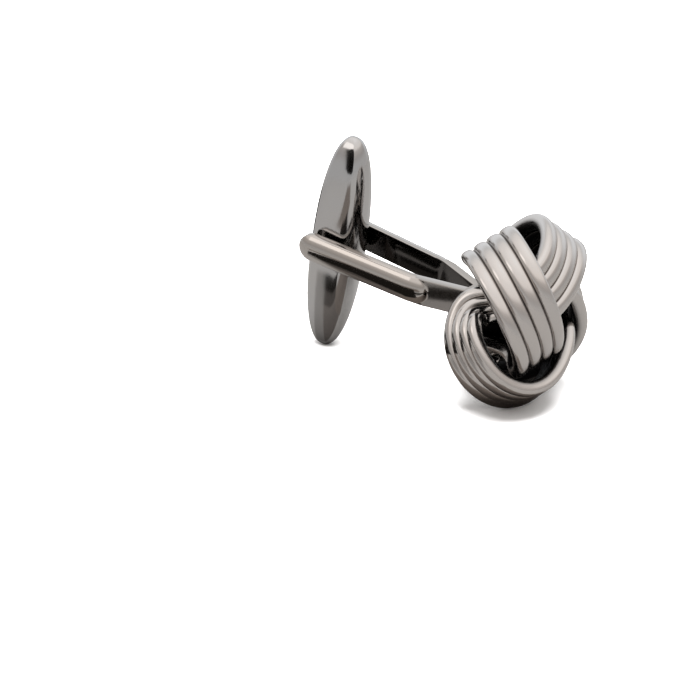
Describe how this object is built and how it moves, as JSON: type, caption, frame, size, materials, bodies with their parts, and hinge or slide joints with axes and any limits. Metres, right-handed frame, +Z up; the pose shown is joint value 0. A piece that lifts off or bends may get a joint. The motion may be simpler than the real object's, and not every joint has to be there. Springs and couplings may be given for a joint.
{
  "type": "cufflink",
  "caption": "Love-knot cufflink of interlocked corded bands on a two-armed post, with a swivelling torpedo toggle that holds it in the cuff.",
  "frame": {"origin": "on the ground under the middle of the bounding box, as the cufflink lies at rest", "axes": "+Z up, +X from the toggle towards the knot, +Y across, along the hinge pin"},
  "size_m": [0.026, 0.0152, 0.0191],
  "materials": {
    "polished_gunmetal": "polished gunmetal plating",
    "dark_gunmetal": "polished dark gunmetal plating",
    "toggle_gunmetal": "polished gunmetal plating"
  },
  "bodies": {
    "head": {"knot_band_a": "polished_gunmetal", "knot_band_b": "polished_gunmetal", "fork": "dark_gunmetal", "hinge_pin": "dark_gunmetal"},
    "toggle": {"toggle": "toggle_gunmetal"}
  },
  "joints": [
    {"name": "toggle_swivel", "type": "hinge", "parent": "head", "child": "toggle", "pos_m": [-0.0103, -0.00038, 0.00954], "axis": [0.0045, 0.9995, 0.0302], "range_deg": [-90, 90]}
  ]
}
